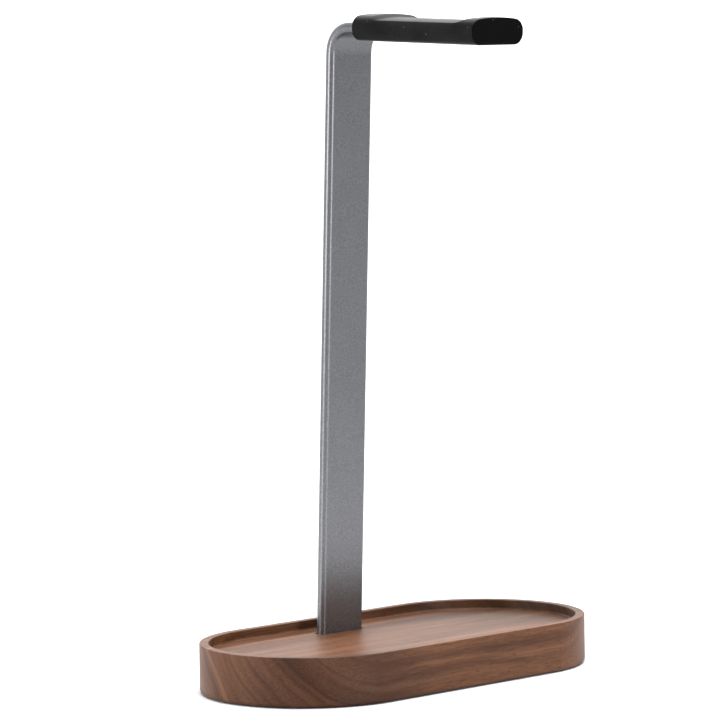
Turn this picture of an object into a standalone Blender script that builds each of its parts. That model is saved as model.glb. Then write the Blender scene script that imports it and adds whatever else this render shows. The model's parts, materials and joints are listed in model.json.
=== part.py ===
"""Headphone stand.

A solid walnut tray carries one flat aluminium bar.  The bar rises near the tray's back edge, bends
forward at the top and ends inside a silicone sleeve that holds the headband.  A steel plate under
the tray anchors the bar and weighs the base down, and a rubber pad is let into the underside.

Frame: +Z up, X along the tray, the arm points to -Y.  The origin is the centre of the rubber pad's
underside.
"""
import math

import bmesh
import bpy
from mathutils import Matrix, Vector

MM = 0.001

# Tray
TRAY_LENGTH = 179.4 * MM
TRAY_DEPTH = 87.6 * MM
TRAY_HEIGHT = 19.2 * MM
RIM_WALL = 3.7 * MM
RECESS_DEPTH = 3.9 * MM
RIM_ROUND = 0.4 * MM
COVE_RADIUS = 0.9 * MM
FOOT_ROUND = 1.3 * MM
TRAY_SEGMENTS = 28
RIM_SEGMENTS = 3
COVE_SEGMENTS = 4

# Underside: rubber pad and ballast plate
PAD_THICKNESS = 1.2 * MM
PAD_PROUD = 0.4 * MM
PAD_INSET = 8.0 * MM
PAD_LENGTH = TRAY_LENGTH - 2 * PAD_INSET
PAD_DEPTH = TRAY_DEPTH - 2 * PAD_INSET
PLATE_LENGTH = 158.0 * MM
PLATE_DEPTH = 66.0 * MM
PLATE_THICKNESS = 3.0 * MM
TOUCH_GAP = 0.3 * MM
FOOT_GAP = 0.15 * MM

# Bar: an upright post with a forward arm
BAR_WIDTH = 23.0 * MM
BAR_THICKNESS = 4.4 * MM
BAR_ROUND = 2.0 * MM
BAR_ROUND_SEGMENTS = 6
SLOT_CORNER = 0.8 * MM
SLOT_SEGMENTS = 4
POST_X = -3.4 * MM
POST_Y = 28.85 * MM
POST_LEAN = math.radians(2.7)
POST_HEIGHT = 244.1 * MM
BEND_RADIUS = 11.7 * MM
BEND_ANGLE = math.radians(89.25)
BEND_SEGMENTS = 12

# Silicone sleeve over the arm
SLEEVE_LENGTH = 66.3 * MM
SLEEVE_WIDTH = 28.0 * MM
SLEEVE_HEIGHT = 10.6 * MM
SLEEVE_ROUND = 4.6 * MM
CROWN_RADIUS = 84.0 * MM
SLEEVE_SEGMENTS = 8
BORE_SEGMENTS = 5
SLEEVE_OFFSET = 6.1 * MM
SLEEVE_LIFT = 0.5 * MM
SLEEVE_END_WALL = 3.0 * MM
SLEEVE_EDGE = 0.8 * MM
SLEEVE_EDGE_SEGMENTS = 3
SADDLE_DEPTH = 1.75 * MM
SADDLE_START = 12.8 * MM
SADDLE_END = 53.0 * MM
SADDLE_REAR_RADIUS = 5.0 * MM
SADDLE_FRONT_RADIUS = 16.0 * MM
SADDLE_REAR_SEGMENTS = 6
SADDLE_FRONT_SEGMENTS = 8

# Screws
POST_SCREW_SPACING = 12.0 * MM
POST_SCREW_RADIUS = 1.0 * MM
POST_SCREW_HEAD = 2.3 * MM
POST_SCREW_LENGTH = 10.0 * MM
PLATE_SCREW_X = 56.0 * MM
PLATE_SCREW_Y = 20.0 * MM
PLATE_SCREW_RADIUS = 1.4 * MM
PLATE_SCREW_HEAD = 2.8 * MM
PLATE_SCREW_LENGTH = 10.0 * MM
PLATE_SCREW_TIP = 0.2
POST_SCREW_TIP = 0.7
HEAD_RIM = 0.2 * MM
SCREW_STEPS = 20
SOCKET_RADIUS = 0.9 * MM
SOCKET_DEPTH = 0.9 * MM
SOCKET_SIDES = 6

# Levels worked out from the dimensions above
TRAY_BOTTOM = PAD_PROUD
TRAY_TOP = TRAY_BOTTOM + TRAY_HEIGHT
FLOOR_LEVEL = TRAY_TOP - RECESS_DEPTH
PLATE_BOTTOM = PAD_THICKNESS + TOUCH_GAP
PLATE_TOP = PLATE_BOTTOM + PLATE_THICKNESS
POCKET_TOP = PLATE_TOP + TOUCH_GAP
FOOT_DROP = FLOOR_LEVEL - POCKET_TOP - FOOT_GAP
CUT_MARGIN = 2.0 * MM
WELD_DISTANCE = 0.01 * MM
LOOP_TOLERANCE = 0.05 * MM
FLAT_ANGLE = math.radians(0.5)
SMOOTH_ANGLE = math.radians(35)
BAR_EDGE_ANGLE = math.radians(50)
SLEEVE_EDGE_ANGLE = math.radians(60)

COLOURS = {
    "walnut": ((0.205, 0.098, 0.056), 0.55, 0.0),
    "anodised_aluminium": ((0.190, 0.190, 0.200), 0.42, 1.0),
    "black_silicone": ((0.012, 0.012, 0.013), 0.55, 0.0),
    "zinc_plated_steel": ((0.480, 0.490, 0.500), 0.38, 1.0),
    "black_oxide_steel": ((0.060, 0.060, 0.062), 0.45, 1.0),
    "grey_rubber": ((0.030, 0.030, 0.031), 0.85, 0.0),
}


def clear_scene():
    for obj in list(bpy.data.objects):
        bpy.data.objects.remove(obj, do_unlink=True)


def new_collection(name):
    collection = bpy.data.collections.new(name)
    bpy.context.scene.collection.children.link(collection)
    return collection


def make_material(name):
    colour, roughness, metallic = COLOURS[name]
    material = bpy.data.materials.new(name)
    material.use_nodes = True
    shader = material.node_tree.nodes["Principled BSDF"]
    shader.inputs["Base Color"].default_value = (*colour, 1.0)
    shader.inputs["Roughness"].default_value = roughness
    shader.inputs["Metallic"].default_value = metallic
    return material


def arc(centre, radius, start, end, segments):
    """Points on a circular arc from angle start to angle end."""
    points = []
    for step in range(segments + 1):
        angle = start + (end - start) * step / segments
        points.append((centre[0] + radius * math.cos(angle), centre[1] + radius * math.sin(angle)))
    return points


def stadium(length, depth, segments=TRAY_SEGMENTS):
    """A capsule outline: two half circles joined by straight sides."""
    radius = depth / 2
    centre = length / 2 - radius
    right = arc((centre, 0.0), radius, -math.pi / 2, math.pi / 2, segments)
    left = arc((-centre, 0.0), radius, math.pi / 2, 3 * math.pi / 2, segments)
    return right + left


def rounded_rectangle(width, height, radius, segments):
    points = []
    corners = ((1, 1, 0), (-1, 1, 1), (-1, -1, 2), (1, -1, 3))
    for side_x, side_y, quarter in corners:
        centre = (side_x * (width / 2 - radius), side_y * (height / 2 - radius))
        start = quarter * math.pi / 2
        points += arc(centre, radius, start, start + math.pi / 2, segments)
    return points


def outline_mesh(name, outline, thickness):
    """A flat outline in the XY plane, extruded evenly to both sides, as a closed mesh."""
    curve = bpy.data.curves.new(name + "_outline", "CURVE")
    curve.dimensions = "2D"
    curve.fill_mode = "BOTH"
    curve.extrude = thickness / 2
    spline = curve.splines.new("POLY")
    spline.points.add(len(outline) - 1)
    for point, (x, y) in zip(spline.points, outline):
        point.co = (x, y, 0.0, 1.0)
    spline.use_cyclic_u = True
    holder = bpy.data.objects.new(name + "_outline", curve)
    bpy.context.scene.collection.objects.link(holder)
    graph = bpy.context.evaluated_depsgraph_get()
    mesh = bpy.data.meshes.new_from_object(holder.evaluated_get(graph))
    bpy.data.objects.remove(holder, do_unlink=True)
    mesh.name = name
    bm = bmesh.new()
    bm.from_mesh(mesh)
    bmesh.ops.remove_doubles(bm, verts=bm.verts, dist=WELD_DISTANCE)
    bmesh.ops.dissolve_limit(bm, angle_limit=FLAT_ANGLE, verts=bm.verts, edges=bm.edges)
    bmesh.ops.recalc_face_normals(bm, faces=bm.faces)
    bm.to_mesh(mesh)
    bm.free()
    return mesh


def cylinder_mesh(name, radius, height, segments=SCREW_STEPS):
    mesh = bpy.data.meshes.new(name)
    bm = bmesh.new()
    bmesh.ops.create_cone(bm, cap_ends=True, segments=segments, radius1=radius, radius2=radius,
                          depth=height)
    bm.to_mesh(mesh)
    bm.free()
    return mesh


def add_part(name, mesh, material, parent=None, location=(0, 0, 0)):
    obj = bpy.data.objects.new(name, mesh)
    PARTS.objects.link(obj)
    obj.data.materials.clear()
    obj.data.materials.append(material)
    obj.parent = parent
    obj.location = location
    return obj


def add_cutter(name, mesh, parent=None, location=(0, 0, 0)):
    obj = bpy.data.objects.new(name, mesh)
    CUTTERS.objects.link(obj)
    obj.parent = parent
    obj.location = location
    obj.hide_render = True
    obj.display_type = "WIRE"
    return obj


def add_frame(name, parent, location, tilt):
    """An empty that holds a position and a tilt about X for the parts on it."""
    empty = bpy.data.objects.new(name, None)
    PARTS.objects.link(empty)
    empty.parent = parent
    empty.location = location
    empty.rotation_euler = (tilt, 0.0, 0.0)
    return empty


def cut(target, cutter):
    modifier = target.modifiers.new("cut_" + cutter.name, "BOOLEAN")
    modifier.operation = "DIFFERENCE"
    modifier.solver = "EXACT"
    modifier.object = cutter


def round_edges(target, width, segments, angle):
    modifier = target.modifiers.new("rounded_edges", "BEVEL")
    modifier.width = width
    modifier.segments = segments
    modifier.limit_method = "ANGLE"
    modifier.angle_limit = angle


def shade_round(mesh):
    mesh.shade_smooth()
    mesh.set_sharp_from_angle(angle=SMOOTH_ANGLE)


# Tray

def stadium_distance(point):
    """Distance from the tray's centre line, which spans the centres of its two round ends."""
    half_line = (TRAY_LENGTH - TRAY_DEPTH) / 2
    beyond = max(abs(point.x) - half_line, 0.0)
    return math.hypot(beyond, point.y)


def rounded_loop(bm, level, radius, width, segments):
    """Bevels the closed edge loop at one height and at one distance from the centre line."""
    loop = []
    for edge in bm.edges:
        if all(abs(v.co.z - level) < LOOP_TOLERANCE
               and abs(stadium_distance(v.co) - radius) < LOOP_TOLERANCE for v in edge.verts):
            loop.append(edge)
    bmesh.ops.bevel(bm, geom=loop, offset=width, offset_type="OFFSET", segments=segments,
                    profile=0.5, affect="EDGES")


def tray_mesh():
    mesh = outline_mesh("tray_base", stadium(TRAY_LENGTH, TRAY_DEPTH), TRAY_HEIGHT)
    top = TRAY_HEIGHT / 2
    floor = top - RECESS_DEPTH
    outer = TRAY_DEPTH / 2
    inner = outer - RIM_WALL
    bm = bmesh.new()
    bm.from_mesh(mesh)
    lid = max(bm.faces, key=lambda face: face.calc_center_median().z)
    bmesh.ops.inset_region(bm, faces=[lid], thickness=RIM_WALL, use_even_offset=True)
    bmesh.ops.inset_individual(bm, faces=[lid], thickness=0.0, depth=-RECESS_DEPTH)
    rounded_loop(bm, floor, inner, COVE_RADIUS, COVE_SEGMENTS)
    rounded_loop(bm, top, inner, RIM_ROUND, RIM_SEGMENTS)
    rounded_loop(bm, top, outer, RIM_ROUND, RIM_SEGMENTS)
    rounded_loop(bm, -top, outer, FOOT_ROUND, RIM_SEGMENTS)
    bm.to_mesh(mesh)
    bm.free()
    shade_round(mesh)
    return mesh


def cut_pocket(tray, name, length, depth, top):
    """Opens the underside for a capsule-shaped piece, with the touching gap round it."""
    height = top - TRAY_BOTTOM + CUT_MARGIN
    shape = outline_mesh(name, stadium(length + 2 * TOUCH_GAP, depth + 2 * TOUCH_GAP), height)
    cutter = add_cutter(name, shape)
    cutter.location.z = top - height / 2
    cut(tray, cutter)


def make_tray(material, post_frame):
    tray = add_part("tray_base", tray_mesh(), material)
    tray.location.z = TRAY_BOTTOM + TRAY_HEIGHT / 2

    slot_height = FLOOR_LEVEL - TRAY_BOTTOM + 2 * CUT_MARGIN
    slot = outline_mesh("post_slot_cutter", rounded_rectangle(
        BAR_WIDTH + 2 * TOUCH_GAP, BAR_THICKNESS + 2 * TOUCH_GAP, SLOT_CORNER, SLOT_SEGMENTS),
        slot_height)
    slot_cutter = add_cutter("post_slot_cutter", slot, post_frame)
    slot_cutter.location.z = CUT_MARGIN - slot_height / 2
    cut(tray, slot_cutter)

    cut_pocket(tray, "plate_pocket_cutter", PLATE_LENGTH, PLATE_DEPTH, POCKET_TOP)
    cut_pocket(tray, "pad_recess_cutter", PAD_LENGTH, PAD_DEPTH, PLATE_BOTTOM)

    pilot_height = PLATE_SCREW_LENGTH - PLATE_THICKNESS + CUT_MARGIN
    for number, (x, y) in enumerate(plate_screw_places(), start=1):
        pilot = cylinder_mesh("pilot_hole_cutter", PLATE_SCREW_RADIUS + TOUCH_GAP, pilot_height)
        pilot_cutter = add_cutter(f"pilot_hole_cutter_{number}", pilot)
        pilot_cutter.location = (x, y, POCKET_TOP + pilot_height / 2 - CUT_MARGIN / 2)
        cut(tray, pilot_cutter)
    return tray


# Bar

def bar_outline():
    """Side view of the bar: x forward, y up, with y = 0 at the tray's floor."""
    half = BAR_THICKNESS / 2
    centre = (BEND_RADIUS - half, POST_HEIGHT - BEND_RADIUS)
    end_angle = math.pi - BEND_ANGLE
    heading = Vector((math.sin(BEND_ANGLE), math.cos(BEND_ANGLE)))
    arm = heading * (SLEEVE_OFFSET + SLEEVE_LENGTH - SLEEVE_END_WALL - TOUCH_GAP)
    outer = arc(centre, BEND_RADIUS, math.pi, end_angle, BEND_SEGMENTS)
    inner = arc(centre, BEND_RADIUS - BAR_THICKNESS, end_angle, math.pi, BEND_SEGMENTS)
    tip_top = (outer[-1][0] + arm.x, outer[-1][1] + arm.y)
    tip_bottom = (inner[0][0] + arm.x, inner[0][1] + arm.y)
    foot = [(half, -FOOT_DROP), (-half, -FOOT_DROP)]
    return foot + outer + [tip_top, tip_bottom] + inner


def side_view_to_upright():
    """Turns a side view (x forward, y up, z across) into the part's axes (-Y forward, +Z up)."""
    return Matrix(((0, 0, -1, 0), (-1, 0, 0, 0), (0, 1, 0, 0), (0, 0, 0, 1)))


def make_bar(material, post_frame):
    mesh = outline_mesh("post_arm", bar_outline(), BAR_WIDTH)
    mesh.transform(side_view_to_upright())
    shade_round(mesh)
    bar = add_part("post_arm", mesh, material, post_frame)
    round_edges(bar, BAR_ROUND, BAR_ROUND_SEGMENTS, BAR_EDGE_ANGLE)
    hole_depth = POST_SCREW_LENGTH
    for number, x in enumerate(post_screw_places(), start=1):
        hole = cylinder_mesh("tapped_hole_cutter", POST_SCREW_RADIUS + TOUCH_GAP, hole_depth)
        hole_cutter = add_cutter(f"tapped_hole_cutter_{number}", hole, post_frame)
        hole_cutter.location = (x, 0.0, -FOOT_DROP + hole_depth / 2 - CUT_MARGIN)
        cut(bar, hole_cutter)
    return bar


def arm_frame_place():
    """Centre of the bar's section where the bend ends and the straight arm starts."""
    middle = BEND_RADIUS - BAR_THICKNESS / 2
    forward = -BAR_THICKNESS / 2 + BEND_RADIUS - middle * math.cos(BEND_ANGLE)
    up = POST_HEIGHT - BEND_RADIUS + middle * math.sin(BEND_ANGLE)
    return (0.0, -forward, up)


# Sleeve

def saddle_outline():
    """Side view of what the saddle removes: x along the sleeve, y up from the hump's top."""
    above = CUT_MARGIN
    floor = -SADDLE_DEPTH
    rear_sweep = math.acos(1 - SADDLE_DEPTH / SADDLE_REAR_RADIUS)
    front_sweep = math.acos(1 - SADDLE_DEPTH / SADDLE_FRONT_RADIUS)
    rear = arc((SADDLE_START, floor + SADDLE_REAR_RADIUS), SADDLE_REAR_RADIUS,
               -math.pi / 2 - rear_sweep, -math.pi / 2, SADDLE_REAR_SEGMENTS)
    front = arc((SADDLE_END, floor + SADDLE_FRONT_RADIUS), SADDLE_FRONT_RADIUS,
                -math.pi / 2, -math.pi / 2 + front_sweep, SADDLE_FRONT_SEGMENTS)
    return [(rear[0][0], above)] + rear + front + [(front[-1][0], above)]


def crowned_section():
    """The sleeve's section: flat below, rounded sides, and a slightly crowned top between them."""
    quarter = math.pi / 2
    side = SLEEVE_WIDTH / 2 - SLEEVE_ROUND
    low = -SLEEVE_HEIGHT / 2 + SLEEVE_ROUND
    crown_centre = SLEEVE_HEIGHT / 2 - CROWN_RADIUS
    rise = math.sqrt((CROWN_RADIUS - SLEEVE_ROUND) ** 2 - side ** 2)
    high = crown_centre + rise
    join = math.atan2(rise, side)
    steps = SLEEVE_SEGMENTS
    upper_right = arc((side, high), SLEEVE_ROUND, 0.0, join, steps)
    crown = arc((0.0, crown_centre), CROWN_RADIUS, join, math.pi - join, steps)[1:-1]
    upper_left = arc((-side, high), SLEEVE_ROUND, math.pi - join, math.pi, steps)
    lower_left = arc((-side, low), SLEEVE_ROUND, 2 * quarter, 3 * quarter, steps)
    lower_right = arc((side, low), SLEEVE_ROUND, 3 * quarter, 4 * quarter, steps)
    return upper_right + crown + upper_left + lower_left + lower_right


def make_sleeve(material, arm_frame):
    section = crowned_section()
    along_arm = Matrix.Rotation(math.radians(90), 4, "X")
    mesh = outline_mesh("arm_sleeve", section, SLEEVE_LENGTH)
    mesh.transform(along_arm)
    shade_round(mesh)
    sleeve = add_part("arm_sleeve", mesh, material, arm_frame)
    middle = SLEEVE_OFFSET + SLEEVE_LENGTH / 2
    sleeve.location = (0.0, -middle, SLEEVE_LIFT)
    round_edges(sleeve, SLEEVE_EDGE, SLEEVE_EDGE_SEGMENTS, SLEEVE_EDGE_ANGLE)

    saddle = outline_mesh("saddle_cutter", saddle_outline(), SLEEVE_WIDTH + 2 * CUT_MARGIN)
    saddle.transform(side_view_to_upright())
    saddle_cutter = add_cutter("saddle_cutter", saddle, arm_frame)
    saddle_cutter.location = (0.0, -SLEEVE_OFFSET, SLEEVE_LIFT + SLEEVE_HEIGHT / 2)
    cut(sleeve, saddle_cutter)

    bore_length = SLEEVE_LENGTH - SLEEVE_END_WALL + CUT_MARGIN
    bore = outline_mesh("sleeve_bore_cutter", rounded_rectangle(
        BAR_WIDTH + 2 * TOUCH_GAP, BAR_THICKNESS + 2 * TOUCH_GAP, BAR_ROUND, BORE_SEGMENTS), bore_length)
    bore.transform(along_arm)
    bore_cutter = add_cutter("sleeve_bore_cutter", bore, arm_frame)
    bore_cutter.location.y = -(SLEEVE_OFFSET - CUT_MARGIN + bore_length / 2)
    cut(sleeve, bore_cutter)
    return sleeve


# Plate, pad and screws

def post_screw_places():
    return (-POST_SCREW_SPACING / 2, POST_SCREW_SPACING / 2)


def plate_screw_places():
    return [(x, y) for y in (-PLATE_SCREW_Y, PLATE_SCREW_Y) for x in (-PLATE_SCREW_X, PLATE_SCREW_X)]


def turned_mesh(name, profile):
    """Spins a profile of (radius, height) points, listed top to bottom, about the Z axis."""
    mesh = bpy.data.meshes.new(name + "_profile")
    bm = bmesh.new()
    verts = [bm.verts.new((radius, 0.0, height)) for radius, height in profile]
    for first, second in zip(verts, verts[1:]):
        bm.edges.new((first, second))
    bm.to_mesh(mesh)
    bm.free()
    holder = bpy.data.objects.new(name + "_profile", mesh)
    bpy.context.scene.collection.objects.link(holder)
    screw = holder.modifiers.new("turned", "SCREW")
    screw.steps = SCREW_STEPS
    screw.render_steps = SCREW_STEPS
    screw.use_merge_vertices = True
    screw.merge_threshold = WELD_DISTANCE
    graph = bpy.context.evaluated_depsgraph_get()
    turned = bpy.data.meshes.new_from_object(holder.evaluated_get(graph))
    bpy.data.objects.remove(holder, do_unlink=True)
    turned.name = name
    shade_round(turned)
    return turned


def countersunk_profile(radius, head_radius, length, tip):
    """A countersunk screw, point up: its flat head is at z = 0 and its tip at z = length."""
    cone = head_radius - radius
    return [(0.0, length), (radius * tip, length), (radius, length - radius),
            (radius, HEAD_RIM + cone), (head_radius, HEAD_RIM), (head_radius, 0.0), (0.0, 0.0)]


def make_screw(name, mesh, material, parent, location):
    screw = add_part(name, mesh, material, parent, location)
    socket = cylinder_mesh("socket_cutter", SOCKET_RADIUS, 2 * SOCKET_DEPTH, SOCKET_SIDES)
    socket_cutter = add_cutter("socket_cutter_" + name, socket, parent, location)
    cut(screw, socket_cutter)
    return screw


def countersink_cutter(name, radius, head_radius, parent, location):
    """Clears a through hole and the head's cone, with the touching gap all round."""
    gap = TOUCH_GAP
    cone = head_radius - radius
    top = PLATE_THICKNESS + CUT_MARGIN
    rim = HEAD_RIM + gap
    profile = [(0.0, top), (radius + gap, top), (radius + gap, rim + cone),
               (head_radius + gap, rim), (head_radius + gap, -CUT_MARGIN), (0.0, -CUT_MARGIN)]
    return add_cutter(name, turned_mesh(name, profile), parent, location)


def make_underside(materials, post_frame):
    plate_shape = outline_mesh("ballast_plate", stadium(PLATE_LENGTH, PLATE_DEPTH), PLATE_THICKNESS)
    plate = add_part("ballast_plate", plate_shape, materials["zinc_plated_steel"])
    plate.location.z = PLATE_BOTTOM + PLATE_THICKNESS / 2

    head_level = TOUCH_GAP
    screw_foot = -(FLOOR_LEVEL - PLATE_BOTTOM) / math.cos(POST_LEAN) + head_level
    post_shape = turned_mesh("post_screw", countersunk_profile(
        POST_SCREW_RADIUS, POST_SCREW_HEAD, POST_SCREW_LENGTH, POST_SCREW_TIP))
    for side, x in zip(("left", "right"), post_screw_places()):
        place = (x, 0.0, screw_foot)
        make_screw(f"post_screw_{side}", post_shape.copy(), materials["black_oxide_steel"],
                   post_frame, place)
        cut(plate, countersink_cutter(f"post_screw_hole_{side}", POST_SCREW_RADIUS,
                                      POST_SCREW_HEAD, post_frame, place))

    wood_shape = turned_mesh("plate_screw", countersunk_profile(
        PLATE_SCREW_RADIUS, PLATE_SCREW_HEAD, PLATE_SCREW_LENGTH, PLATE_SCREW_TIP))
    for number, (x, y) in enumerate(plate_screw_places(), start=1):
        place = (x, y, PLATE_BOTTOM + head_level / 2)
        make_screw(f"plate_screw_{number}", wood_shape.copy(), materials["zinc_plated_steel"],
                   None, place)
        cut(plate, countersink_cutter(f"plate_screw_hole_{number}", PLATE_SCREW_RADIUS,
                                      PLATE_SCREW_HEAD, None, place))

    pad_shape = outline_mesh("anti_slip_pad", stadium(PAD_LENGTH, PAD_DEPTH), PAD_THICKNESS)
    pad = add_part("anti_slip_pad", pad_shape, materials["grey_rubber"])
    pad.location.z = PAD_THICKNESS / 2


def build():
    materials = {name: make_material(name) for name in COLOURS}
    post_frame = add_frame("post_frame", None, (POST_X, POST_Y, FLOOR_LEVEL), POST_LEAN)
    arm_frame = add_frame("arm_frame", post_frame, arm_frame_place(), BEND_ANGLE - math.pi / 2)
    make_tray(materials["walnut"], post_frame)
    make_bar(materials["anodised_aluminium"], post_frame)
    make_sleeve(materials["black_silicone"], arm_frame)
    make_underside(materials, post_frame)


clear_scene()
PARTS = new_collection("headphone_stand")
CUTTERS = new_collection("cutters")
build()
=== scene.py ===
"""Headphone stand: its looks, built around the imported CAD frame.

A walnut tray, one bent aluminium bar, a silicone sleeve on the bar's arm, and a rubber pad underneath.
The ballast plate and the screws keep their CAD shapes.  Lengths are in metres, colours are linear.
"""

import json
import math

import bmesh
import bpy
from mathutils import Matrix, Vector


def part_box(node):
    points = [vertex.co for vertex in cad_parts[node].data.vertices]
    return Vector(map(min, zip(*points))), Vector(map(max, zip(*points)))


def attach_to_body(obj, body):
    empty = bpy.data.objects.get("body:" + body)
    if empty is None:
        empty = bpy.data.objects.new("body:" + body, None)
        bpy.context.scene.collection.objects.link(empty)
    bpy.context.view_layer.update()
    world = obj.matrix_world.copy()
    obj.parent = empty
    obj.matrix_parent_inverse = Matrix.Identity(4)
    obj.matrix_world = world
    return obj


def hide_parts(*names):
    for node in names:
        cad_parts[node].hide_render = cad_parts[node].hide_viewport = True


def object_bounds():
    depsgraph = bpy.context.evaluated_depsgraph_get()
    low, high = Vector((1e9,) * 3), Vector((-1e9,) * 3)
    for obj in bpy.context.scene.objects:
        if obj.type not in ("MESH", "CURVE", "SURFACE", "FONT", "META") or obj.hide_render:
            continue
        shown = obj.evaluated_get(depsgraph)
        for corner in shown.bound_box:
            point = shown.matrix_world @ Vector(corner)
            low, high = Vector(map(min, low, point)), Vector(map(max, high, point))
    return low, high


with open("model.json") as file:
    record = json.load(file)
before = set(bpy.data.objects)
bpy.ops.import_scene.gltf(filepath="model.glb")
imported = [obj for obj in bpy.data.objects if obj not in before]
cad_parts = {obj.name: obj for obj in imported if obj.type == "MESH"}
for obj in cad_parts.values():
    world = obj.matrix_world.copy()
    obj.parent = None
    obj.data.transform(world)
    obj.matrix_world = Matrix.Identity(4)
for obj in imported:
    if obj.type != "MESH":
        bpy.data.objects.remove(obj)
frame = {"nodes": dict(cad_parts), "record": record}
CAD_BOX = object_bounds()
MM = 0.001

# Tray
RIM_WALL = 3.7 * MM
RECESS_DEPTH = 3.9 * MM
RIM_ROUND = 0.4 * MM
COVE_RADIUS = 0.9 * MM
FOOT_ROUND = 1.3 * MM
TOUCH_GAP = 0.3 * MM
PILOT_RADIUS = 1.7 * MM
PILOT_DEPTH = 8.5 * MM
PILOT_MARGIN = 2.0 * MM
PILOT_SIDES = 24
SLOT_CORNER = 0.8 * MM
SLOT_CHAMFER = 0.2 * MM
SLOT_CORNER_STEPS = 6
TRAY_ARC_STEPS = 96
TRAY_SIDE_STEPS = 24
FOOT_STEPS = 8
RIM_STEPS = 6
COVE_STEPS = 10

# Bar
BAR_ROUND = 2.0 * MM
BAR_END_ROUND = 0.6 * MM
BAR_THICKNESS = 4.4 * MM
POST_LEAN = math.radians(2.7)
BEND_RADIUS = 11.7 * MM
BEND_EASE = 5.0 * MM
BEND_STEPS = 48
BEND_MARGIN = 1.0 * MM
BAR_CORNER_STEPS = 12
FOOT_DROP = 10.75 * MM
FITTING_ROUNDS = 12

# Sleeve
SLEEVE_LENGTH = 66.3 * MM
SLEEVE_WIDTH = 28.0 * MM
SLEEVE_HEIGHT = 10.6 * MM
SLEEVE_ROUND = 4.6 * MM
CROWN_RADIUS = 84.0 * MM
FLAT_CROWN = 4000.0 * MM
SLEEVE_LIFT = 0.5 * MM
SLEEVE_EDGE = 0.8 * MM
SLEEVE_END_WALL = 3.0 * MM
SADDLE_DEPTH = 1.3 * MM
SADDLE_START = 12.8 * MM
SADDLE_END = 53.0 * MM
SADDLE_REAR_RADIUS = 5.0 * MM
SADDLE_FRONT_RADIUS = 16.0 * MM
SADDLE_CREASE = 0.16 * MM
SADDLE_EDGE = 0.35 * MM
PARTING_LINE = 0.06 * MM
CROWN_STEPS = 10
CROWN_BISECTIONS = 40
SADDLE_EDGE_STEPS = 5
SLEEVE_CORNER_STEPS = 16
SLEEVE_END_STEPS = 8
SLEEVE_STATION = 0.75 * MM

# Pad
PAD_EDGE = 0.3 * MM
PAD_EDGE_STEPS = 4
PAD_GROOVES = 3
PAD_GROOVE_STEPS = 8
PAD_GROOVE_SPACING = 3.0 * MM
PAD_GROOVE_WIDTH = 1.2 * MM
PAD_GROOVE_DEPTH = 0.3 * MM

# Extra points this far from each rounding keep the flats beside it flat in smooth shading.
SUPPORT = 0.25 * MM
SHARP_ANGLE = math.radians(30.0)
SLEEVE_SHARP_ANGLE = math.radians(40.0)

# Camera
CAMERA_PLACE = (-1.13055793, -1.15087283, 0.26261067)
CAMERA_TURN = (85.1636, 0.9078, -44.1258)
CAMERA_LENS = 205.0
CAMERA_SENSOR = 36.0
CAMERA_CLIP = 200.0

# Walnut's figure: lengths in millimetres, depths as shares of the ramp of tones
GRAIN_TURN = (math.radians(-50.0), 0.0, 0.0)
SLOW_WANDER = 7.0
QUICK_WANDER = 1.4
BAND_CONTRAST = 1.55
BAND_SHIFT = -0.21
RING_SPACING = 4.4
RING_UNEVENNESS = 2.5
RING_DEPTH = 0.17
FIBRE_DEPTH = 0.23
FINE_DEPTH = 0.08
PORE_SHARE = 0.62

# Colours
WALNUT_TONES = (
    (0.0, (0.029, 0.011, 0.006)),
    (0.3, (0.062, 0.025, 0.011)),
    (0.6, (0.112, 0.047, 0.022)),
    (1.0, (0.192, 0.090, 0.045)),
)
WALNUT_BLUSH = (0.140, 0.068, 0.044)
WALNUT_STREAK = (0.215, 0.110, 0.064)
WALNUT_PAINTED_SHADE_LEFT = (0.020, 0.008, 0.006)
WALNUT_PAINTED_SHADE_RIGHT = (0.022, 0.011, 0.006)
WALNUT_PORE = (0.034, 0.015, 0.009)
ANODISED_DARK = (0.099, 0.101, 0.108)
ANODISED_PALE = (0.130, 0.132, 0.141)
ANODISED_PAINTED_REFLECTION_GAIN = (1.42, 1.42, 1.42)
SILICONE_DARK = (0.0050, 0.0050, 0.0051)
SILICONE_PALE = (0.0098, 0.0098, 0.0099)
SILICONE_DUST_AND_SHEEN = (0.048, 0.048, 0.049)
SILICONE_PAINTED_SHADE_FRONT = (0.0012, 0.0012, 0.0013)
SILICONE_SPECK = (0.45, 0.46, 0.45)
SPECK_SHARE = 0.22
RUBBER_DARK = (0.020, 0.020, 0.021)
RUBBER_DUSTY = (0.052, 0.051, 0.050)
ZINC_DARK = (0.42, 0.43, 0.44)
ZINC_PALE = (0.60, 0.61, 0.62)
OXIDE_DARK = (0.030, 0.030, 0.032)
OXIDE_RUBBED = (0.160, 0.155, 0.150)
FLOOR_DARK = (0.52, 0.52, 0.52)
FLOOR_PALE = (0.54, 0.54, 0.54)

# Studio
FLOOR_REACH = 90.0
FLOOR_CELLS = 8
FLOOR_CLEARANCE = 0.02 * MM
WORLD_FRONT = 0.12
WORLD_BACK = 2.05
WORLD_BACK_DIRECTION = (0.208, 0.978, 0.0)
WORLD_FADE_START = 0.25
WORLD_FADE_END = 0.8
SOFTBOX_DISTANCE = 1.3
SOFTBOX_ELEVATION = 8.0
SOFTBOX_HEIGHT = 0.6
OVERHEAD_AZIMUTH = 40.0
OVERHEAD_ELEVATION = 81.0
OVERHEAD_STRENGTH = 8.2
OVERHEAD_SPREAD = math.radians(60.0)


# What the frame says

def saddle_mount():
    """The mount on the sleeve's saddle, where the headband rests."""
    return next(mount for mount in frame["record"]["mounts"] if mount["name"] == "headband_saddle")


def saddle_tilt():
    """How far the arm points below level."""
    axis = saddle_mount()["axis"]
    return math.atan2(-axis[1], axis[2])


def centre_of(low, high):
    """The middle of a box."""
    return (Vector(low) + Vector(high)) / 2


# Shapes

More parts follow.
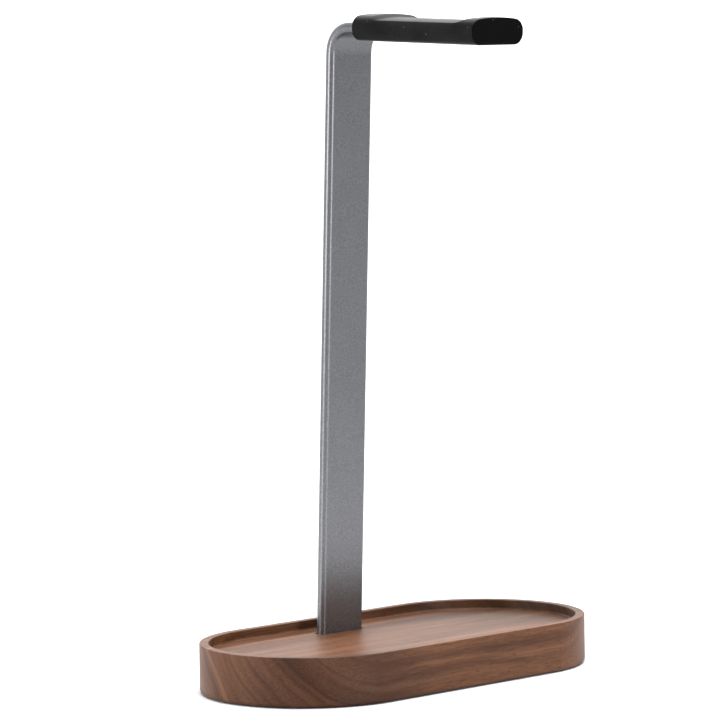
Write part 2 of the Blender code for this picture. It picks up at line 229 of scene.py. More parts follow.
def arc_points(centre, radius, start, end, steps):
    """Points on an arc from angle start to angle end, both included."""
    points = []
    for step in range(steps + 1):
        angle = start + (end - start) * step / steps
        points.append((centre[0] + radius * math.cos(angle), centre[1] + radius * math.sin(angle)))
    return points


def stadium_ring(length, depth, inset, level):
    """A capsule outline at one height, always with the same number of points."""
    radius = depth / 2 - inset
    reach = (length - depth) / 2
    ring = arc_points((reach, 0.0), radius, -math.pi / 2, math.pi / 2, TRAY_ARC_STEPS)
    for step in range(1, TRAY_SIDE_STEPS):
        ring.append((reach - 2 * reach * step / TRAY_SIDE_STEPS, radius))
    ring += arc_points((-reach, 0.0), radius, math.pi / 2, 3 * math.pi / 2, TRAY_ARC_STEPS)
    for step in range(1, TRAY_SIDE_STEPS):
        ring.append((-reach + 2 * reach * step / TRAY_SIDE_STEPS, -radius))
    return [Vector((x, y, level)) for x, y in ring]


def rounded_rectangle(width, height, radius, steps):
    """A rounded rectangle with support points beside each corner, so that its flats shade flat."""
    points = []
    for side_x, side_y, quarter in ((1, 1, 0), (-1, 1, 1), (-1, -1, 2), (1, -1, 3)):
        centre = (side_x * (width / 2 - radius), side_y * (height / 2 - radius))
        start = quarter * math.pi / 2
        corner = arc_points(centre, radius, start, start + math.pi / 2, steps)
        along = Vector((-math.sin(start), math.cos(start)))
        after = Vector((-along.y, along.x))
        room = (height if quarter % 2 == 0 else width) / 2 - radius
        room_after = (width if quarter % 2 == 0 else height) / 2 - radius
        if room > 2 * SUPPORT:
            points.append(tuple(Vector(corner[0]) - along * SUPPORT))
        points += corner
        if room_after > 2 * SUPPORT:
            points.append(tuple(Vector(corner[-1]) + after * SUPPORT))
    return points


def loft(rings):
    """A closed mesh through rings that have the same number of points, with both ends capped."""
    bm = bmesh.new()
    rows = [[bm.verts.new(point) for point in ring] for ring in rings]
    for lower, upper in zip(rows, rows[1:]):
        for here in range(len(lower)):
            following = (here + 1) % len(lower)
            bm.faces.new((lower[here], lower[following], upper[following], upper[here]))
    bm.faces.new(rows[0])
    bm.faces.new(rows[-1])
    bmesh.ops.recalc_face_normals(bm, faces=bm.faces)
    return bm


def new_object(name, bm):
    """An object in the scene from a mesh under construction."""
    mesh = bpy.data.meshes.new(name)
    bm.to_mesh(mesh)
    bm.free()
    piece = bpy.data.objects.new(name, mesh)
    bpy.context.scene.collection.objects.link(piece)
    return piece


def shade(piece, angle=SHARP_ANGLE):
    """Smooth shading that keeps the edges sharper than an angle."""
    piece.data.shade_smooth()
    piece.data.set_sharp_from_angle(angle=angle)


def subtract(piece, cutters):
    """Cuts each cutter out of the piece and removes it."""
    for cutter in cutters:
        modifier = piece.modifiers.new(cutter.name, "BOOLEAN")
        modifier.operation = "DIFFERENCE"
        modifier.solver = "EXACT"
        modifier.object = cutter
    graph = bpy.context.evaluated_depsgraph_get()
    whole = piece.data
    piece.data = bpy.data.meshes.new_from_object(piece.evaluated_get(graph))
    piece.modifiers.clear()
    bpy.data.meshes.remove(whole)
    piece.data.name = piece.name
    for cutter in cutters:
        bpy.data.objects.remove(cutter, do_unlink=True)


def place_on(points, turn, node):
    """The matrix that turns a set of points and centres them on a CAD node."""
    turned = [turn @ point for point in points]
    low = [min(point[axis] for point in turned) for axis in range(3)]
    high = [max(point[axis] for point in turned) for axis in range(3)]
    return Matrix.Translation(centre_of(*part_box(node)) - centre_of(low, high)) @ turn


def attach(piece, node, material):
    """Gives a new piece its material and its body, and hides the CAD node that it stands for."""
    piece.data.materials.clear()
    piece.data.materials.append(material)
    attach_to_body(piece, "root")
    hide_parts(node)


# Tray

def tray_profile(height):
    """The tray's section from its pocket's ceiling, round the outside, to its floor: (inset, level)."""
    tray_low, tray_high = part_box("tray_base")
    plate_low, plate_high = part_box("ballast_plate")
    pad_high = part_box("anti_slip_pad")[1]
    plate_inset = tray_high.y - plate_high.y - TOUCH_GAP
    pad_inset = tray_high.y - pad_high.y - TOUCH_GAP
    plate_ceiling = plate_high.z + TOUCH_GAP - tray_low.z
    pad_ceiling = plate_low.z - tray_low.z
    floor = height - RECESS_DEPTH
    quarter = math.pi / 2
    profile = [(plate_inset, plate_ceiling), (plate_inset, pad_ceiling)]
    profile += [(pad_inset, pad_ceiling), (pad_inset, 0.0)]
    profile.append((FOOT_ROUND + SUPPORT, 0.0))
    profile += arc_points((FOOT_ROUND, FOOT_ROUND), FOOT_ROUND, -quarter, -2 * quarter, FOOT_STEPS)
    profile.append((0.0, FOOT_ROUND + SUPPORT))
    profile.append((0.0, height - RIM_ROUND - SUPPORT))
    profile += arc_points((RIM_ROUND, height - RIM_ROUND), RIM_ROUND, 2 * quarter, quarter, RIM_STEPS)
    profile.append((RIM_ROUND + SUPPORT, height))
    profile.append((RIM_WALL - RIM_ROUND - SUPPORT, height))
    profile += arc_points((RIM_WALL - RIM_ROUND, height - RIM_ROUND), RIM_ROUND,
                          quarter, 0.0, RIM_STEPS)
    profile += arc_points((RIM_WALL + COVE_RADIUS, floor + COVE_RADIUS), COVE_RADIUS,
                          2 * quarter, 3 * quarter, COVE_STEPS)
    profile.append((RIM_WALL + COVE_RADIUS + SUPPORT, floor))
    return profile


def slot_cutter(place, bar_width):
    """The slot that the bar stands in, with a small chamfer at the tray's floor."""
    width = bar_width + 2 * TOUCH_GAP
    depth = BAR_THICKNESS + 2 * TOUCH_GAP
    rings = []
    for level, flare in ((-2 * FOOT_DROP, 0.0), (-SLOT_CHAMFER, 0.0), (SLOT_CHAMFER, SLOT_CHAMFER)):
        outline = rounded_rectangle(width + 4 * flare, depth + 4 * flare, SLOT_CORNER + flare,
                                    SLOT_CORNER_STEPS)
        rings.append([place @ Vector((x, y, level)) for x, y in outline])
    return new_object("slot_cutter", loft(rings))


def pilot_cutter(node):
    """A pilot hole in the wood above one plate screw."""
    low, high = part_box(node)
    middle = centre_of(low, high)
    rings = []
    for level in (low.z, low.z + PILOT_DEPTH + PILOT_MARGIN):
        circle = arc_points((middle.x, middle.y), PILOT_RADIUS, 0.0, 2 * math.pi, PILOT_SIDES)[:-1]
        rings.append([Vector((x, y, level)) for x, y in circle])
    return new_object("pilot_cutter", loft(rings))


def make_tray(post_place, bar_width):
    """The tray, its section carried round a capsule, with its slot and pilot holes."""
    low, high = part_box("tray_base")
    size = high - low
    rings = []
    for inset, level in tray_profile(size.z):
        rings.append(stadium_ring(size.x, size.y, inset, low.z + level))
    tray = new_object("walnut_tray", loft(rings))
    screws = [name for name in frame["nodes"] if name.startswith("plate_screw")]
    subtract(tray, [slot_cutter(post_place, bar_width)] + [pilot_cutter(name) for name in screws])
    shade(tray)
    return tray


# Bar

def bar_path(rise, arm_angle, arm_length):
    """Stations along the bar's centre line: (point, heading), heading 0 up and growing forward.

    The bend's curvature grows from nothing over BEND_EASE, and dies away over the same length.
    """
    middle = BEND_RADIUS - BAR_THICKNESS / 2
    stations = [(Vector((0.0, 0.0, -FOOT_DROP)), 0.0)]
    stations.append((Vector((0.0, 0.0, rise - BEND_MARGIN)), 0.0))
    bend_length = middle * arm_angle + BEND_EASE
    stride = bend_length / BEND_STEPS
    bend_end = Vector((0.0, 0.0, rise))
    heading = 0.0
    stations.append((bend_end, heading))
    for step in range(BEND_STEPS):
        travelled = (step + 0.5) * stride
        ease = min(1.0, travelled / BEND_EASE, (bend_length - travelled) / BEND_EASE)
        turn = ease * stride / middle
        halfway = heading + turn / 2
        bend_end = bend_end + Vector((0.0, -math.sin(halfway), math.cos(halfway))) * stride
        heading += turn
        stations.append((bend_end, heading))
    along = Vector((0.0, -math.sin(arm_angle), math.cos(arm_angle)))
    stations.append((bend_end + along * BEND_MARGIN, arm_angle))
    stations.append((bend_end + along * arm_length, arm_angle))
    return stations


def section_ring(station, outline):
    """The bar's outline set square across its path at a station."""
    point, heading = station
    outward = Vector((0.0, math.cos(heading), math.sin(heading)))
    return [point + Vector((x, 0.0, 0.0)) + outward * y for x, y in outline]


def bar_rings(width, stations):
    """Sections along the bar, with a small rounding at its foot and at its tip."""
    outline = rounded_rectangle(width, BAR_THICKNESS, BAR_ROUND, BAR_CORNER_STEPS)
    small = rounded_rectangle(width - 2 * BAR_END_ROUND, BAR_THICKNESS - 2 * BAR_END_ROUND,
                              BAR_ROUND - BAR_END_ROUND, BAR_CORNER_STEPS)
    foot, foot_heading = stations[0]
    tip, tip_heading = stations[-1]
    up = Vector((0.0, 0.0, 1.0))
    along = Vector((0.0, -math.sin(tip_heading), math.cos(tip_heading)))
    rings = [section_ring(stations[0], small)]
    rings.append(section_ring((foot + up * BAR_END_ROUND, foot_heading), outline))
    rings += [section_ring(station, outline) for station in stations[1:-1]]
    rings.append(section_ring((tip - along * BAR_END_ROUND, tip_heading), outline))
    rings.append(section_ring(stations[-1], small))
    return rings


def make_bar(post_turn, arm_angle):
    """Builds the bar in its own frame and returns it with the matrix that puts it in place."""
    low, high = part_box("post_arm")
    size = high - low
    # The CAD box's height and depth give the rise to the bend and the arm's length beyond it.
    guess_rise = size.z - FOOT_DROP
    guess_arm = size.y
    for _ in range(FITTING_ROUNDS):
        stations = bar_path(guess_rise, arm_angle, guess_arm)
        points = [post_turn @ point for ring in bar_rings(size.x, stations) for point in ring]
        depth = max(p.y for p in points) - min(p.y for p in points)
        height = max(p.z for p in points) - min(p.z for p in points)
        guess_rise += size.z - height
        guess_arm += size.y - depth
    rings = bar_rings(size.x, bar_path(guess_rise, arm_angle, guess_arm))
    place = place_on([point for ring in rings for point in ring], post_turn, "post_arm")
    bm = loft(rings)
    # The two ends become fans of triangles.
    bmesh.ops.poke(bm, faces=[face for face in bm.faces if len(face.verts) > 4])
    bar = new_object("aluminium_bar", bm)
    bar.data.transform(place)
    shade(bar)
    return bar, place


# Sleeve

def scoop(distance, radius):
    """How deep one end of the saddle is, at a distance beyond its level floor."""
    if distance <= 0:
        return SADDLE_DEPTH
    if distance >= radius:
        return SADDLE_DEPTH - distance
    return SADDLE_DEPTH - radius + math.sqrt(radius * radius - distance * distance)


def saddle_depth(station):
    """The saddle's depth at a station along the sleeve, with its creases slightly softened."""
    depth = min(scoop(SADDLE_START - station, SADDLE_REAR_RADIUS),
                scoop(station - SADDLE_END, SADDLE_FRONT_RADIUS))
    return (depth + math.hypot(depth, SADDLE_CREASE)) / 2


def bezier(start, corner, end, steps):
    """Points between two ends on a curve that a corner pulls towards itself."""
    points = []
    for step in range(1, steps):
        share = step / steps
        points.append(start * (1 - share) ** 2 + corner * 2 * share * (1 - share) + end * share ** 2)
    return points


def crown_level(x, apex, crown):
    """The height of a crowned top at a distance x from its middle."""
    return apex - crown + math.sqrt(crown * crown - x * x)


def meet_crown(side, shoulder, radius, apex, crown):
    """The angle round the corner's arc at which it meets the crowned top."""
    low, high = 0.0, math.pi / 2
    for _ in range(CROWN_BISECTIONS):
        angle = (low + high) / 2
        x = side + radius * math.cos(angle)
        if shoulder + radius * math.sin(angle) < crown_level(x, apex, crown):
            low = angle
        else:
            high = angle
    return low


def sleeve_half_section(width, height, radius, depth, ridge, crown):
    """The right half of a section, from the bottom's middle to the top's middle."""
    quarter = math.pi / 2
    side = width / 2 - radius
    bottom = -height / 2
    apex = height / 2 - depth
    shoulder = height / 2 - crown + math.sqrt((crown - radius) ** 2 - side ** 2)
    reach = meet_crown(side, shoulder, radius, apex, crown)
    points = [Vector((0.0, bottom)), Vector((side - SUPPORT, bottom))]
    lower = arc_points((side, bottom + radius), radius, -quarter, 0.0, SLEEVE_CORNER_STEPS)
    points += [Vector(p) for p in lower]
    edge = width / 2
    middle = (bottom + radius + shoulder) / 2
    points.append(Vector((edge, middle - PARTING_LINE)))
    points.append(Vector((edge + ridge, middle)))
    points.append(Vector((edge, middle + PARTING_LINE)))
    before_edge = reach - SADDLE_EDGE / radius
    upper = arc_points((side, shoulder), radius, 0.0, before_edge, SLEEVE_CORNER_STEPS)
    points += [Vector(p) for p in upper]
    corner = Vector((side + radius * math.cos(reach), shoulder + radius * math.sin(reach)))
    inner = corner.x - SADDLE_EDGE
    after_edge = Vector((inner, crown_level(inner, apex, crown)))
    points += bezier(points[-1], corner, after_edge, SADDLE_EDGE_STEPS)
    for step in range(CROWN_STEPS + 1):
        x = inner * (1 - step / CROWN_STEPS)
        points.append(Vector((x, crown_level(x, apex, crown))))
    return points


def sleeve_section(width, height, radius, depth=0.0, ridge=0.0, crown=CROWN_RADIUS):
    """A whole section, with its top lowered by depth and a ridge along each side."""
    right = sleeve_half_section(width, height, radius, depth, ridge, crown)
    left = [Vector((-point.x, point.y)) for point in reversed(right[1:-1])]
    return right + left


def sleeve_ring(station, section, lift=0.0):
    """A section across the sleeve: the sleeve runs forward along -Y."""
    return [Vector((point.x, -station, point.y + lift)) for point in section]


def sleeve_outer_ring(station, inset):
    """The sleeve's outside at a station, drawn in by an inset."""
    section = sleeve_section(SLEEVE_WIDTH - 2 * inset, SLEEVE_HEIGHT - 2 * inset,
                             SLEEVE_ROUND - inset, saddle_depth(station), PARTING_LINE)
    return sleeve_ring(station, section)


def bore_ring(station, bar_width, flare=0.0):
    """The bore's wall at a station, with the touching gap round the bar."""
    gap = TOUCH_GAP + flare
    section = sleeve_section(bar_width + 2 * gap, BAR_THICKNESS + 2 * gap, BAR_ROUND + flare,
                             crown=FLAT_CROWN)
    return sleeve_ring(station, section, -SLEEVE_LIFT)


def sleeve_rings(bar_width):
    """From the bore's blind end, out through its mouth, over the outside, to the front face."""
    bore_end = SLEEVE_LENGTH - SLEEVE_END_WALL
    rings = [bore_ring(bore_end, bar_width), bore_ring(SUPPORT, bar_width)]
    rings.append(bore_ring(0.0, bar_width, SUPPORT))
    rings.append(sleeve_outer_ring(0.0, SLEEVE_EDGE + SUPPORT))
    for step in range(SLEEVE_END_STEPS + 1):
        angle = math.pi / 2 * step / SLEEVE_END_STEPS
        rings.append(sleeve_outer_ring(SLEEVE_EDGE * (1 - math.cos(angle)),
                                       SLEEVE_EDGE * (1 - math.sin(angle))))
    straight = SLEEVE_LENGTH - 2 * SLEEVE_EDGE
    count = round(straight / SLEEVE_STATION)
    for step in range(1, count):
        rings.append(sleeve_outer_ring(SLEEVE_EDGE + straight * step / count, 0.0))
    for step in range(SLEEVE_END_STEPS + 1):
        angle = math.pi / 2 * step / SLEEVE_END_STEPS
        rings.append(sleeve_outer_ring(SLEEVE_LENGTH - SLEEVE_EDGE * (1 - math.sin(angle)),
                                       SLEEVE_EDGE * (1 - math.cos(angle))))
    rings.append(sleeve_outer_ring(SLEEVE_LENGTH, SLEEVE_EDGE + SUPPORT))
    return rings


def make_sleeve(arm_turn, bar_width):
    """The sleeve, tilted with the arm and centred on its CAD node."""
    rings = sleeve_rings(bar_width)
    place = place_on([point for ring in rings for point in ring], arm_turn, "arm_sleeve")
    sleeve = new_object("silicone_sleeve", loft(rings))
    sleeve.data.transform(place)
    shade(sleeve, SLEEVE_SHARP_ANGLE)
    return sleeve


# Pad

def pad_profile(height):
    """The pad's section from its top, round its edge, to its grooved underside: (inset, level)."""
    quarter = math.pi / 2
    profile = [(PAD_EDGE + SUPPORT, height)]
    profile += arc_points((PAD_EDGE, height - PAD_EDGE), PAD_EDGE, quarter, 2 * quarter,
                          PAD_EDGE_STEPS)
    profile += arc_points((PAD_EDGE, PAD_EDGE), PAD_EDGE, 2 * quarter, 3 * quarter, PAD_EDGE_STEPS)
    for groove in range(1, PAD_GROOVES + 1):
        middle = groove * PAD_GROOVE_SPACING
        for step in range(PAD_GROOVE_STEPS + 1):
            across = 2 * step / PAD_GROOVE_STEPS - 1
            level = PAD_GROOVE_DEPTH * math.cos(across * quarter) ** 2
            profile.append((middle + across * PAD_GROOVE_WIDTH / 2, level))
    profile.append((PAD_GROOVES * PAD_GROOVE_SPACING + PAD_GROOVE_WIDTH, 0.0))
    return profile


def make_pad():
    """The rubber pad, with grooves that run round its underside."""
    low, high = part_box("anti_slip_pad")
    size = high - low
    rings = []
    for inset, level in pad_profile(size.z):
        rings.append(stadium_ring(size.x, size.y, inset, low.z + level))
    pad = new_object("rubber_pad", loft(rings))
    shade(pad)
    return pad


# Materials

class Finish:
    """A material under construction: each call adds a node and returns its output socket."""

    def __init__(self, name):
        self.material = bpy.data.materials.new(name)
        self.material.use_nodes = True
        self.tree = self.material.node_tree
        self.shader = self.tree.nodes["Principled BSDF"]

    def node(self, kind, inputs, output=0, **settings):
        """Adds a node, with each input linked to a socket or set to a value."""
        made = self.tree.nodes.new(kind)
        for name, value in settings.items():
            setattr(made, name, value)
        for key, value in inputs.items():
            if isinstance(value, bpy.types.NodeSocket):
                self.tree.links.new(value, made.inputs[key])
            else:
                made.inputs[key].default_value = value
        return made.outputs[output]

    def set(self, **inputs):
        """Sets or links the shader's inputs: underscores stand for spaces."""
        for key, value in inputs.items():
            socket = self.shader.inputs[key.replace("_", " ")]
            if isinstance(value, bpy.types.NodeSocket):
                self.tree.links.new(value, socket)
            else:
                socket.default_value = value

    def place(self, turn=(0.0, 0.0, 0.0)):
        """Where a point is on the object, in millimetres, turned about the axes."""
        coordinates = self.node("ShaderNodeTexCoord", {}, "Object")
        return self.node("ShaderNodeMapping", {"Vector": coordinates, "Rotation": turn,
                                               "Scale": (1 / MM, 1 / MM, 1 / MM)})

    def stretch(self, vector, x, y, z):
        """Divides a vector by a length along each axis."""
        scale = (1 / x, 1 / y, 1 / z)
        return self.node("ShaderNodeVectorMath", {0: vector, 1: scale}, operation="MULTIPLY")

    def noise(self, vector, detail, roughness=0.5, offset=0.0):
        """Noise whose features are about one unit of the vector; the offset keeps layers unlike."""
        if offset:
            shift = (offset, offset, offset)
            vector = self.node("ShaderNodeVectorMath", {0: vector, 1: shift}, operation="ADD")
        return self.node("ShaderNodeTexNoise", {"Vector": vector, "Scale": 1.0, "Detail": detail,
                                                "Roughness": roughness})

    def math(self, operation, first, second=0.0, third=0.0):
        """Arithmetic on up to three values, given as sockets or numbers."""
        return self.node("ShaderNodeMath", {0: first, 1: second, 2: third}, operation=operation)

    def remap(self, value, low, high, to_low=0.0, to_high=1.0, smooth=False):
        """Carries a value from the range low to high over to another range, and clamps it."""
        kind = "SMOOTHSTEP" if smooth else "LINEAR"
        return self.node("ShaderNodeMapRange", {"Value": value, "From Min": low, "From Max": high,
                                                "To Min": to_low, "To Max": to_high},
                         interpolation_type=kind)

    def mix(self, factor, first, second, blend="MIX"):
        """Mixes two colours, given as sockets or as linear values."""
        inputs = {0: factor, 6: self.colour(first), 7: self.colour(second)}
        return self.node("ShaderNodeMix", inputs, 2, data_type="RGBA", blend_type=blend)

    def colour(self, value):
        """A colour as a socket wants it: a socket unchanged, or three values with an alpha."""
        return value if isinstance(value, bpy.types.NodeSocket) else (*value, 1.0)

    def ramp(self, factor, stops):
        """A colour ramp through (position, colour) stops."""
        socket = self.node("ShaderNodeValToRGB", {"Fac": factor})
        ramp = socket.node.color_ramp
        while len(ramp.elements) < len(stops):
            ramp.elements.new(1.0)
        for element, (position, colour) in zip(ramp.elements, stops):
            element.position = position
            element.color = (*colour, 1.0)
        return socket

    def bump(self, height, depth):
        """Bumps whose full height is depth, in metres."""
        return self.node("ShaderNodeBump", {"Height": height, "Distance": depth, "Strength": 1.0})


def walnut_bands(finish, grain):
    """The wood's tone, from broad bands, growth rings and fibres, and the fibres by themselves."""
    band = finish.noise(finish.stretch(grain, 150.0, 70.0, 6.5), detail=2.0, roughness=0.55, offset=5.1)
    layer = finish.node("ShaderNodeSeparateXYZ", {"Vector": grain}, "Z")
    uneven = finish.noise(finish.stretch(grain, 400.0, 200.0, 8.0), detail=1.0, offset=8.9)
    phase = finish.math("ADD", finish.math("DIVIDE", layer, RING_SPACING),
                        finish.math("MULTIPLY", uneven, RING_UNEVENNESS))
    ring = finish.remap(finish.math("FRACT", phase), 0.35, 0.97, smooth=True)
    fibre = finish.noise(finish.stretch(grain, 13.0, 0.62, 0.62), detail=3.0, roughness=0.6)
    fine = finish.noise(finish.stretch(grain, 5.0, 0.2, 0.2), detail=2.0, roughness=0.6, offset=2.3)
    tone = finish.math("MULTIPLY_ADD", band, BAND_CONTRAST, BAND_SHIFT)
    tone = finish.math("MULTIPLY_ADD", ring, -RING_DEPTH, tone)
    tone = finish.math("ADD", tone, finish.remap(fibre, 0.25, 0.75, -FIBRE_DEPTH, FIBRE_DEPTH))
    tone = finish.math("ADD", tone, finish.remap(fine, 0.25, 0.75, -FINE_DEPTH, FINE_DEPTH))
    return tone, fibre


def walnut_zone(finish, direction, wander, start, end, share):
    """A share that grows along a level direction, with an edge that wanders as the grain does."""
    along = finish.node("ShaderNodeVectorMath", {0: finish.place(), 1: direction}, "Value",
                        operation="DOT_PRODUCT")
    along = finish.math("ADD", along, wander)
    return finish.remap(along, start, end, 0.0, share, smooth=True)


def walnut():
    """Solid walnut: growth layers rise towards the back, fibres and pores run along X."""
    finish = Finish("walnut")
    place = finish.place(turn=GRAIN_TURN)
    slow = finish.noise(finish.stretch(place, 95.0, 40.0, 40.0), detail=2.0, offset=3.7)
    quick = finish.noise(finish.stretch(place, 26.0, 12.0, 9.0), detail=2.0, offset=11.3)
    wander = finish.math("ADD", finish.math("MULTIPLY", slow, SLOW_WANDER),
                         finish.math("MULTIPLY", quick, QUICK_WANDER))
    shift = finish.node("ShaderNodeCombineXYZ", {"Z": wander})
    grain = finish.node("ShaderNodeVectorMath", {0: place, 1: shift}, operation="ADD")

    tone, fibre = walnut_bands(finish, grain)
    wood = finish.ramp(tone, WALNUT_TONES)
    blush = finish.noise(finish.stretch(grain, 90.0, 30.0, 12.0), detail=2.0, offset=17.0)
    wood = finish.mix(finish.remap(blush, 0.35, 0.7, 0.0, 0.25), wood, WALNUT_BLUSH)
    streak = finish.noise(finish.stretch(grain, 130.0, 60.0, 2.6), detail=1.0, offset=23.0)
    wood = finish.mix(finish.remap(streak, 0.60, 0.72, 0.0, 0.28), wood, WALNUT_STREAK)

    # Painted shade: darker towards the front left, and again towards the right end.
    painted_shade_left = walnut_zone(finish, (0.55, 0.83, 0.0), wander, start=-38.0, end=-62.0, share=0.58)
    wood = finish.mix(painted_shade_left, wood, WALNUT_PAINTED_SHADE_LEFT)
    # Painted shade towards the right end and the back.
    painted_shade_right = walnut_zone(finish, (0.8, 0.6, 0.0), wander, start=20.0, end=70.0, share=0.55)
    wood = finish.mix(painted_shade_right, wood, WALNUT_PAINTED_SHADE_RIGHT)

    pore_noise = finish.noise(finish.stretch(grain, 3.6, 0.40, 0.40), detail=1.0, offset=6.1)
    pore = finish.remap(pore_noise, 0.60, 0.69, smooth=True)
    wood = finish.mix(finish.math("MULTIPLY", pore, PORE_SHARE), wood, WALNUT_PORE)
    relief = finish.math("MULTIPLY_ADD", pore, -0.8, finish.math("MULTIPLY", fibre, 0.6))
    finish.set(Base_Color=wood, Roughness=finish.remap(fibre, 0.3, 0.7, 0.38, 0.49),
               Normal=finish.bump(relief, 0.03 * MM), IOR=1.45, Specular_IOR_Level=0.13)
    return finish.material


def anodised_aluminium():
    """Bead-blasted and anodised grey: a fine even grain, faint clouds, and a painted reflection that is
    paler at the foot.
    """
    finish = Finish("anodised_aluminium")
    place = finish.place()
    cloud = finish.noise(finish.stretch(place, 18.0, 18.0, 30.0), detail=2.0)
    grain = finish.noise(finish.stretch(place, 0.60, 0.60, 0.60), detail=2.0, roughness=0.6, offset=4.4)
    blast = finish.noise(finish.stretch(place, 0.14, 0.14, 0.14), detail=1.0, offset=1.7)
    shade_share = finish.math("ADD", finish.remap(grain, 0.3, 0.7, -1.3, 1.3),
                              finish.remap(cloud, 0.3, 0.7, 0.35, 0.65))
    colour = finish.mix(shade_share, ANODISED_DARK, ANODISED_PALE)
    # Painted reflection: the bar's lower part is made paler, standing in for light thrown up from the
    # tray and the floor.
    height = finish.node("ShaderNodeSeparateXYZ", {"Vector": place}, "Z")
    foot = finish.remap(height, 135.0, 15.0, 0.0, 1.0, smooth=True)
    colour = finish.mix(foot, colour, finish.mix(1.0, colour, ANODISED_PAINTED_REFLECTION_GAIN, "MULTIPLY"))
    finish.set(Base_Color=colour, Metallic=0.84, Roughness=finish.remap(grain, 0.3, 0.7, 0.28, 0.34),
               Normal=finish.bump(blast, 0.005 * MM))
    return finish.material


def black_silicone():
    """Matt black silicone: a fine moulded texture, handling marks, dust with a painted sheen on top, and
    painted shade on the front face.

    The dust and painted sheen lie on what is about as high as the saddle or higher.
    """
    finish = Finish("black_silicone")
    place = finish.place()
    smear = finish.noise(finish.stretch(place, 9.0, 14.0, 9.0), detail=3.0, roughness=0.6)
    texture = finish.noise(finish.stretch(place, 0.22, 0.22, 0.22), detail=2.0, roughness=0.6, offset=7.7)
    colour = finish.mix(finish.remap(smear, 0.35, 0.7), SILICONE_DARK, SILICONE_PALE)

    # Dust and painted sheen: the top, from about the saddle's height up, is made paler.
    mount = saddle_mount()
    level = finish.node("ShaderNodeVectorMath", {0: place, 1: mount["axis"]}, "Value",
                        operation="DOT_PRODUCT")
    seat = Vector(mount["pos_m"]).dot(Vector(mount["axis"])) / MM
    dust = finish.remap(level, seat - 0.8, seat + 1.3, 0.0, 0.9, smooth=True)
    colour = finish.mix(dust, colour, SILICONE_DUST_AND_SHEEN)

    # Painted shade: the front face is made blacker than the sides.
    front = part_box("arm_sleeve")[0].y / MM
    along = finish.node("ShaderNodeSeparateXYZ", {"Vector": place}, "Y")
    colour = finish.mix(finish.remap(along, front + 0.9, front + 0.5), colour, SILICONE_PAINTED_SHADE_FRONT)

    cell = finish.node("ShaderNodeTexVoronoi", {"Vector": finish.stretch(place, 2.6, 2.6, 2.6),
                                                "Scale": 1.0}, "Distance")
    pick = finish.noise(finish.stretch(place, 4.0, 4.0, 4.0), detail=0.0, offset=2.9)
    speck = finish.math("MULTIPLY", finish.remap(cell, 0.09, 0.05), finish.remap(pick, 0.54, 0.60))
    colour = finish.mix(finish.math("MULTIPLY", speck, SPECK_SHARE), colour, SILICONE_SPECK)
    finish.set(Base_Color=colour, Roughness=finish.remap(smear, 0.3, 0.7, 0.42, 0.52),
               Normal=finish.bump(texture, 0.008 * MM), IOR=1.43, Specular_IOR_Level=0.035,
               Sheen_Weight=0.2, Sheen_Roughness=0.25)
    return finish.material


def grey_rubber():
    """Dark rubber with a dimpled face, dusty in patches and on the ridges between the dimples."""
    finish = Finish("grey_rubber")
    place = finish.place()
    dimple = finish.node("ShaderNodeTexVoronoi", {"Vector": finish.stretch(place, 0.7, 0.7, 0.7),
                                                  "Scale": 1.0}, "Distance")
    dust = finish.noise(finish.stretch(place, 12.0, 12.0, 12.0), detail=3.0, roughness=0.6)
    shade_share = finish.math("ADD", finish.remap(dimple, 0.1, 0.7, -0.2, 0.4),
                              finish.remap(dust, 0.3, 0.7, 0.0, 0.6))
    colour = finish.mix(shade_share, RUBBER_DARK, RUBBER_DUSTY)
    finish.set(Base_Color=colour, Roughness=finish.remap(dust, 0.3, 0.7, 0.78, 0.92),
               Normal=finish.bump(dimple, 0.05 * MM))
    return finish.material


def zinc_plated_steel():
    """Zinc plate: a bright grey with a soft spangle and drawn streaks."""
    finish = Finish("zinc_plated_steel")
    place = finish.place()
    spangle = finish.node("ShaderNodeTexVoronoi", {"Vector": finish.stretch(place, 5.0, 5.0, 5.0),
                                                   "Scale": 1.0}, "Color")
    level = finish.node("ShaderNodeSeparateXYZ", {"Vector": spangle}, "X")
    streak = finish.noise(finish.stretch(place, 40.0, 0.5, 0.5), detail=2.0, roughness=0.6)
    shade_share = finish.math("MULTIPLY_ADD", level, 0.5, finish.math("MULTIPLY", streak, 0.5))
    colour = finish.mix(shade_share, ZINC_DARK, ZINC_PALE)
    finish.set(Base_Color=colour, Metallic=1.0, Roughness=finish.remap(level, 0.0, 1.0, 0.28, 0.42),
               Normal=finish.bump(streak, 0.01 * MM))
    return finish.material


def black_oxide_steel():
    """Blackened steel, paler where it has rubbed."""
    finish = Finish("black_oxide_steel")
    place = finish.place()
    rub = finish.noise(finish.stretch(place, 1.6, 1.6, 1.6), detail=3.0, roughness=0.6)
    colour = finish.mix(finish.remap(rub, 0.5, 0.8), OXIDE_DARK, OXIDE_RUBBED)
    finish.set(Base_Color=colour, Metallic=1.0, Roughness=finish.remap(rub, 0.3, 0.8, 0.34, 0.55),
               Normal=finish.bump(rub, 0.01 * MM))
    return finish.material


def pale_floor():
    """Matt pale card with barely visible clouds."""
    finish = Finish("pale_floor")
    place = finish.place()
    cloud = finish.noise(finish.stretch(place, 700.0, 700.0, 700.0), detail=2.0)
    colour = finish.mix(cloud, FLOOR_DARK, FLOOR_PALE)
    finish.set(Base_Color=colour, Roughness=0.9)
    return finish.material


# Stage

def make_floor():
    """A floor wide enough to reach the horizon, just below the pad."""
    bm = bmesh.new()
    bmesh.ops.create_grid(bm, x_segments=FLOOR_CELLS, y_segments=FLOOR_CELLS, size=FLOOR_REACH)
    floor = new_object("studio_floor", bm)
    floor.location.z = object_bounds()[0].z - FLOOR_CLEARANCE
    floor.data.materials.append(pale_floor())


